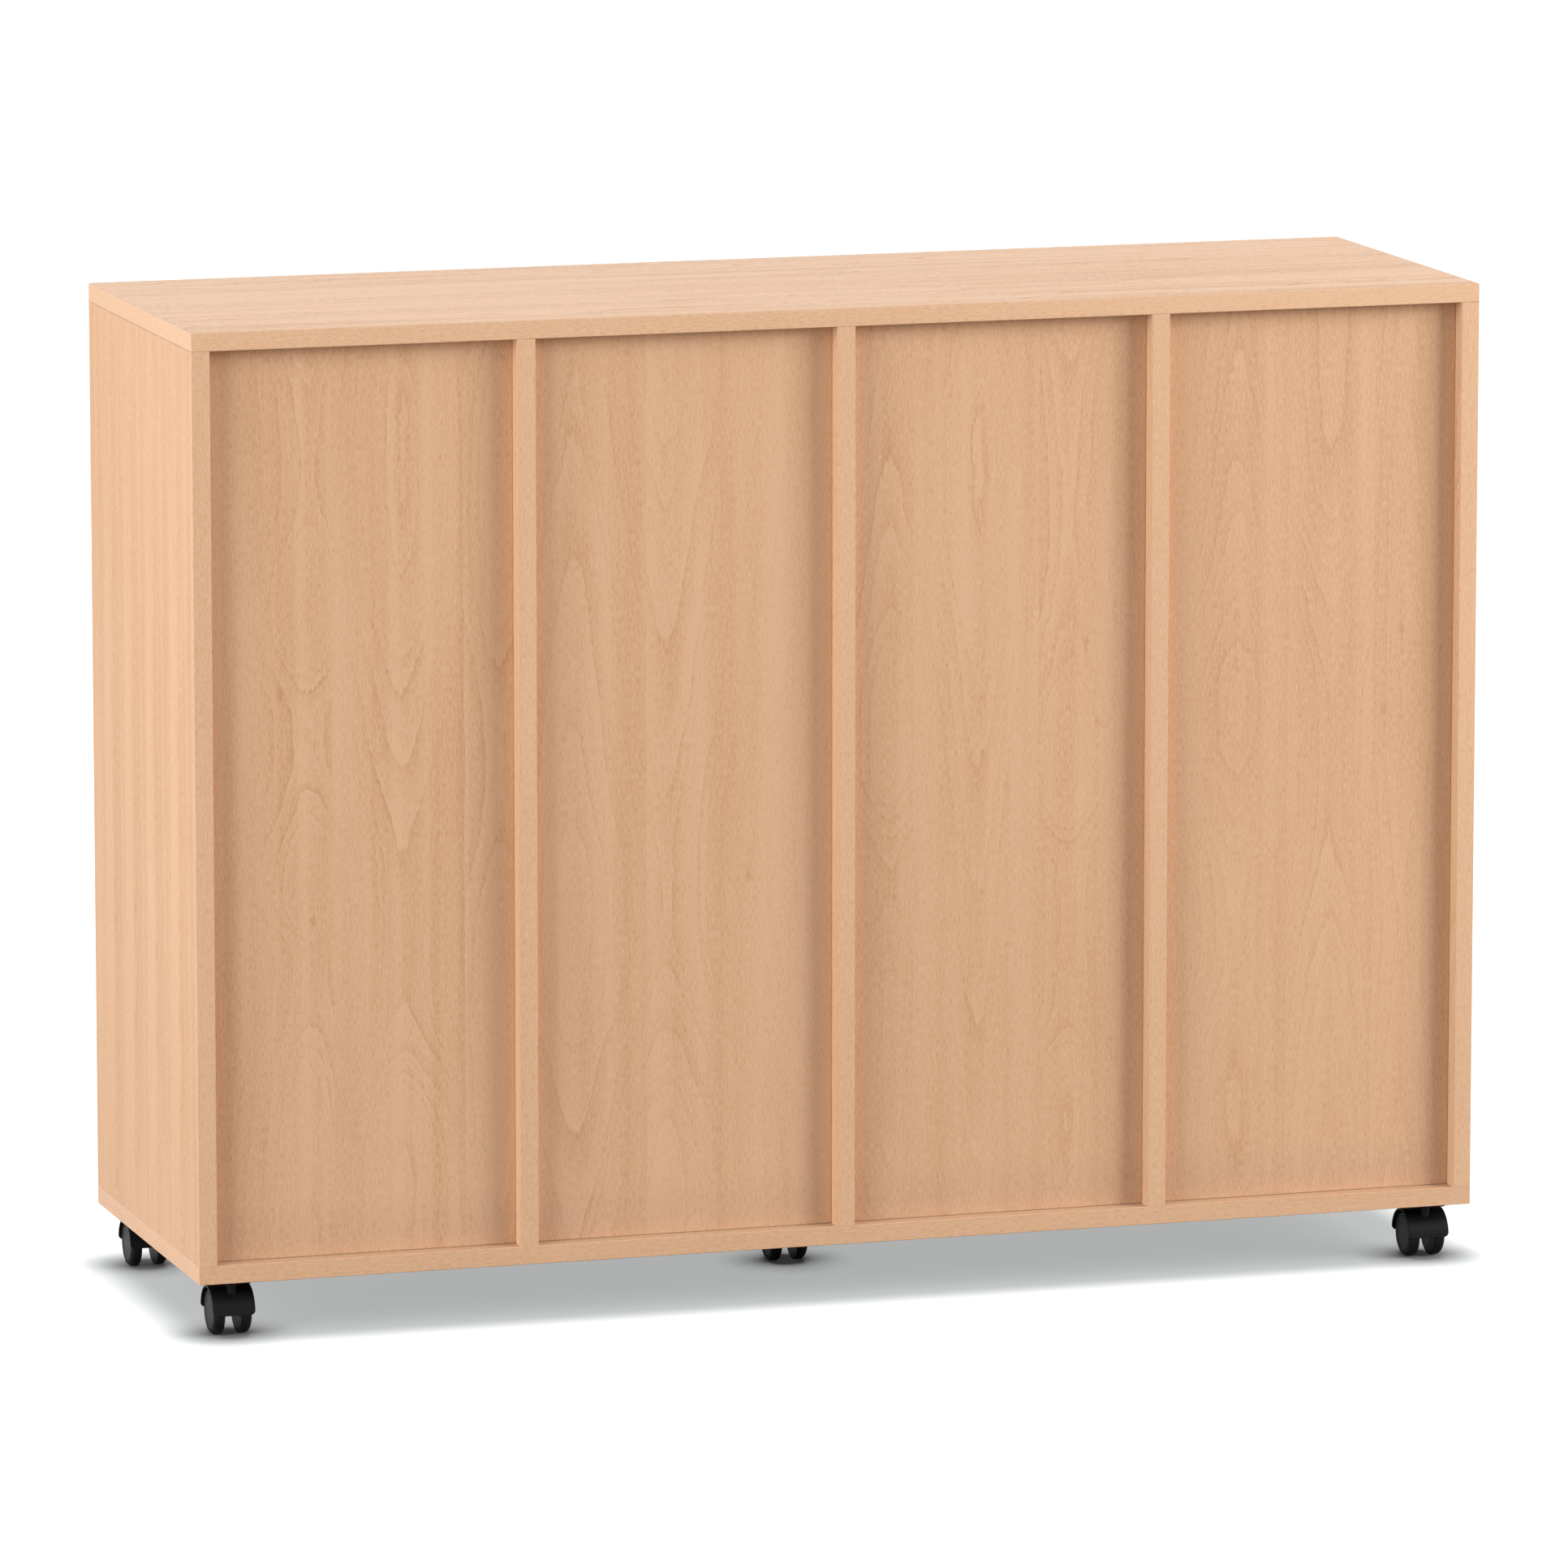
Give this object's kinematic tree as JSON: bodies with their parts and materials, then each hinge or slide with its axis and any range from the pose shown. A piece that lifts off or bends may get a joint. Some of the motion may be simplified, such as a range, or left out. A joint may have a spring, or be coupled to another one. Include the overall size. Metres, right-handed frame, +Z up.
{
  "type": "mobile shelving unit",
  "caption": "Low wide beech-decor shelving unit with open bays of loose shelves, inset back panels and swivel twin-wheel casters.",
  "frame": {"origin": "on the floor, under the middle of the carcass", "axes": "+Z up, +X along the length, +Y towards the back panels; the open front faces -Y"},
  "size_m": [1.371, 0.43, 1.0301],
  "materials": {
    "beech_board": "satin beech decor foil on chipboard",
    "beech_back": "satin beech decor foil on thin board",
    "beech_edging": "beech decor plastic strip",
    "dowel_wood": "bare turned beech",
    "pin_steel": "bright nickel plating",
    "plate_steel": "zinc plating",
    "screw_steel": "zinc plating",
    "axle_steel": "bright drawn bar",
    "hood_plastic": "fine-grained black moulding",
    "wheel_plastic": "smooth black moulding",
    "cap_plastic": "satin dark grey moulding"
  },
  "bodies": {
    "carcass": {"top_panel": "beech_board", "base_panel": "beech_board", "side_left": "beech_board", "side_right": "beech_board", "divider_1": "beech_board", "divider_2": "beech_board", "divider_3": "beech_board", "back_panel_1": "beech_back", "back_panel_2": "beech_back", "back_panel_3": "beech_back", "back_panel_4": "beech_back", "shelf_1_1": "beech_board", "shelf_1_2": "beech_board", "shelf_2_1": "beech_board", "shelf_2_2": "beech_board", "shelf_3_1": "beech_board", "shelf_3_2": "beech_board", "shelf_4_1": "beech_board", "shelf_4_2": "beech_board", "top_edging": "beech_edging", "base_edging": "beech_edging", "upright_edging": "beech_edging", "shelf_edging": "beech_edging", "dowels": "dowel_wood", "shelf_pins": "pin_steel", "caster_plates": "plate_steel", "caster_kingpins": "plate_steel", "caster_screws": "screw_steel"},
    "caster_front_left": {"caster_front_left_hood": "hood_plastic", "caster_front_left_axle": "axle_steel"},
    "caster_front_left_wheel_left_turning": {"caster_front_left_wheel_left": "wheel_plastic", "caster_front_left_cap_left": "cap_plastic"},
    "caster_front_left_wheel_right_turning": {"caster_front_left_wheel_right": "wheel_plastic", "caster_front_left_cap_right": "cap_plastic"},
    "caster_front_right": {"caster_front_right_hood": "hood_plastic", "caster_front_right_axle": "axle_steel"},
    "caster_front_right_wheel_left_turning": {"caster_front_right_wheel_left": "wheel_plastic", "caster_front_right_cap_left": "cap_plastic"},
    "caster_front_right_wheel_right_turning": {"caster_front_right_wheel_right": "wheel_plastic", "caster_front_right_cap_right": "cap_plastic"},
    "caster_back_left": {"caster_back_left_hood": "hood_plastic", "caster_back_left_axle": "axle_steel"},
    "caster_back_left_wheel_left_turning": {"caster_back_left_wheel_left": "wheel_plastic", "caster_back_left_cap_left": "cap_plastic"},
    "caster_back_left_wheel_right_turning": {"caster_back_left_wheel_right": "wheel_plastic", "caster_back_left_cap_right": "cap_plastic"},
    "caster_back_right": {"caster_back_right_hood": "hood_plastic", "caster_back_right_axle": "axle_steel"},
    "caster_back_right_wheel_left_turning": {"caster_back_right_wheel_left": "wheel_plastic", "caster_back_right_cap_left": "cap_plastic"},
    "caster_back_right_wheel_right_turning": {"caster_back_right_wheel_right": "wheel_plastic", "caster_back_right_cap_right": "cap_plastic"},
    "caster_centre": {"caster_centre_hood": "hood_plastic", "caster_centre_axle": "axle_steel"},
    "caster_centre_wheel_left_turning": {"caster_centre_wheel_left": "wheel_plastic", "caster_centre_cap_left": "cap_plastic"},
    "caster_centre_wheel_right_turning": {"caster_centre_wheel_right": "wheel_plastic", "caster_centre_cap_right": "cap_plastic"}
  },
  "joints": [
    {"name": "caster_front_left_swivel", "type": "hinge", "parent": "carcass", "child": "caster_front_left", "pos_m": [-0.6455, -0.161, 0.045], "axis": [0, 0, 1], "continuous": true},
    {"name": "caster_front_left_wheel_left_spin", "type": "hinge", "parent": "caster_front_left", "child": "caster_front_left_wheel_left_turning", "pos_m": [-0.65975, -0.174, 0.024], "axis": [1, 0, 0], "continuous": true},
    {"name": "caster_front_left_wheel_right_spin", "type": "hinge", "parent": "caster_front_left", "child": "caster_front_left_wheel_right_turning", "pos_m": [-0.63125, -0.174, 0.024], "axis": [1, 0, 0], "continuous": true},
    {"name": "caster_front_right_swivel", "type": "hinge", "parent": "carcass", "child": "caster_front_right", "pos_m": [0.6455, -0.161, 0.045], "axis": [0, 0, 1], "continuous": true},
    {"name": "caster_front_right_wheel_left_spin", "type": "hinge", "parent": "caster_front_right", "child": "caster_front_right_wheel_left_turning", "pos_m": [0.63125, -0.174, 0.024], "axis": [1, 0, 0], "continuous": true},
    {"name": "caster_front_right_wheel_right_spin", "type": "hinge", "parent": "caster_front_right", "child": "caster_front_right_wheel_right_turning", "pos_m": [0.65975, -0.174, 0.024], "axis": [1, 0, 0], "continuous": true},
    {"name": "caster_back_left_swivel", "type": "hinge", "parent": "carcass", "child": "caster_back_left", "pos_m": [-0.6455, 0.187, 0.045], "axis": [0, 0, 1], "continuous": true},
    {"name": "caster_back_left_wheel_left_spin", "type": "hinge", "parent": "caster_back_left", "child": "caster_back_left_wheel_left_turning", "pos_m": [-0.65975, 0.174, 0.024], "axis": [1, 0, 0], "continuous": true},
    {"name": "caster_back_left_wheel_right_spin", "type": "hinge", "parent": "caster_back_left", "child": "caster_back_left_wheel_right_turning", "pos_m": [-0.63125, 0.174, 0.024], "axis": [1, 0, 0], "continuous": true},
    {"name": "caster_back_right_swivel", "type": "hinge", "parent": "carcass", "child": "caster_back_right", "pos_m": [0.6455, 0.187, 0.045], "axis": [0, 0, 1], "continuous": true},
    {"name": "caster_back_right_wheel_left_spin", "type": "hinge", "parent": "caster_back_right", "child": "caster_back_right_wheel_left_turning", "pos_m": [0.63125, 0.174, 0.024], "axis": [1, 0, 0], "continuous": true},
    {"name": "caster_back_right_wheel_right_spin", "type": "hinge", "parent": "caster_back_right", "child": "caster_back_right_wheel_right_turning", "pos_m": [0.65975, 0.174, 0.024], "axis": [1, 0, 0], "continuous": true},
    {"name": "caster_centre_swivel", "type": "hinge", "parent": "carcass", "child": "caster_centre", "pos_m": [0, 0.013, 0.045], "axis": [0, 0, 1], "continuous": true},
    {"name": "caster_centre_wheel_left_spin", "type": "hinge", "parent": "caster_centre", "child": "caster_centre_wheel_left_turning", "pos_m": [-0.01425, 0, 0.024], "axis": [1, 0, 0], "continuous": true},
    {"name": "caster_centre_wheel_right_spin", "type": "hinge", "parent": "caster_centre", "child": "caster_centre_wheel_right_turning", "pos_m": [0.01425, 0, 0.024], "axis": [1, 0, 0], "continuous": true}
  ]
}
